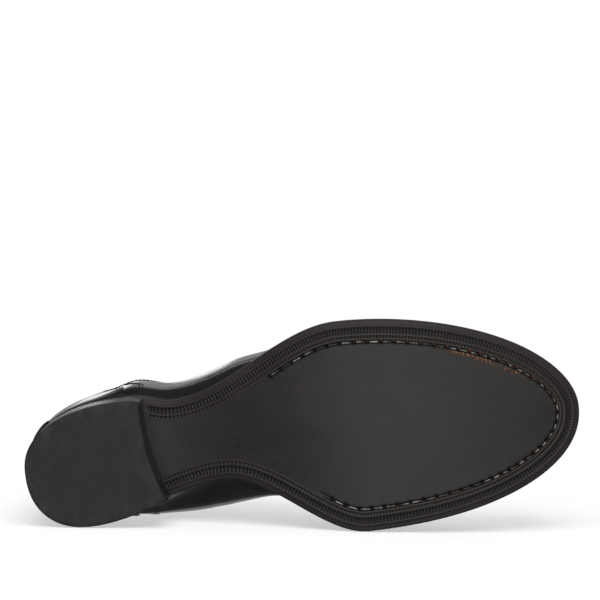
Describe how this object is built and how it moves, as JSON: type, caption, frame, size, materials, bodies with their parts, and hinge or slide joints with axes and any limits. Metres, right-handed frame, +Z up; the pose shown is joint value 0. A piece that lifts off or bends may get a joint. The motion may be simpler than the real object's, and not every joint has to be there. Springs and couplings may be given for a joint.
{
  "type": "bowling shoe",
  "caption": "Right low-cut leather bowling shoe with a stitched leather slide sole, stacked heel with a rubber top piece, eyelet facings and a hinged tongue.",
  "frame": {"origin": "centre of the bounding box at its bottom, on the ground under the shoe", "axes": "+X from the heel to the toe, +Y to the inner (medial) side of this right shoe, +Z up"},
  "size_m": [0.3005, 0.1146, 0.1256],
  "materials": {
    "sole_leather": "black-dyed sole leather, burnished",
    "edge_leather": "black edge ink, waxed",
    "heel_rubber": "fine moulded matt",
    "upper_leather": "polished black calf",
    "lining_leather": "tan glazed lining leather",
    "insole_leather": "raw veg-tanned leather",
    "waxed_thread": "waxed linen thread",
    "cork": "cork and binder sheet",
    "fibre_board": "pressed fibre board",
    "backing_cloth": "cotton backing cloth",
    "foam": "open-cell foam",
    "shank_steel": "rolled steel",
    "eyelet_metal": "black enamelled brass"
  },
  "bodies": {
    "shoe": {"outsole": "sole_leather", "midsole": "edge_leather", "forepart_filler": "cork", "shank_board": "fibre_board", "shank": "shank_steel", "insole": "insole_leather", "sock_lining": "lining_leather", "heel_lift_1": "edge_leather", "heel_lift_2": "edge_leather", "heel_lift_3": "edge_leather", "heel_top_piece": "heel_rubber", "heel_nails": "shank_steel", "sole_stitches": "waxed_thread", "vamp": "upper_leather", "toe_cap": "upper_leather", "toe_puff": "fibre_board", "interlining": "backing_cloth", "heel_counter": "fibre_board", "quarter_medial": "upper_leather", "quarter_lateral": "upper_leather", "heel_cover": "upper_leather", "back_strip": "upper_leather", "collar_band": "upper_leather", "facing_medial": "upper_leather", "facing_lateral": "upper_leather", "eyelets_medial": "eyelet_metal", "eyelets_lateral": "eyelet_metal", "vamp_lining": "lining_leather", "quarter_lining": "lining_leather"},
    "tongue": {"tongue": "upper_leather", "tongue_padding": "foam", "tongue_lining": "lining_leather"}
  },
  "joints": [
    {"name": "tongue_hinge", "type": "hinge", "parent": "shoe", "child": "tongue", "pos_m": [0.02623, 0.01005, 0.06235], "axis": [0, 1, 0], "range_deg": [-12, 0]}
  ]
}
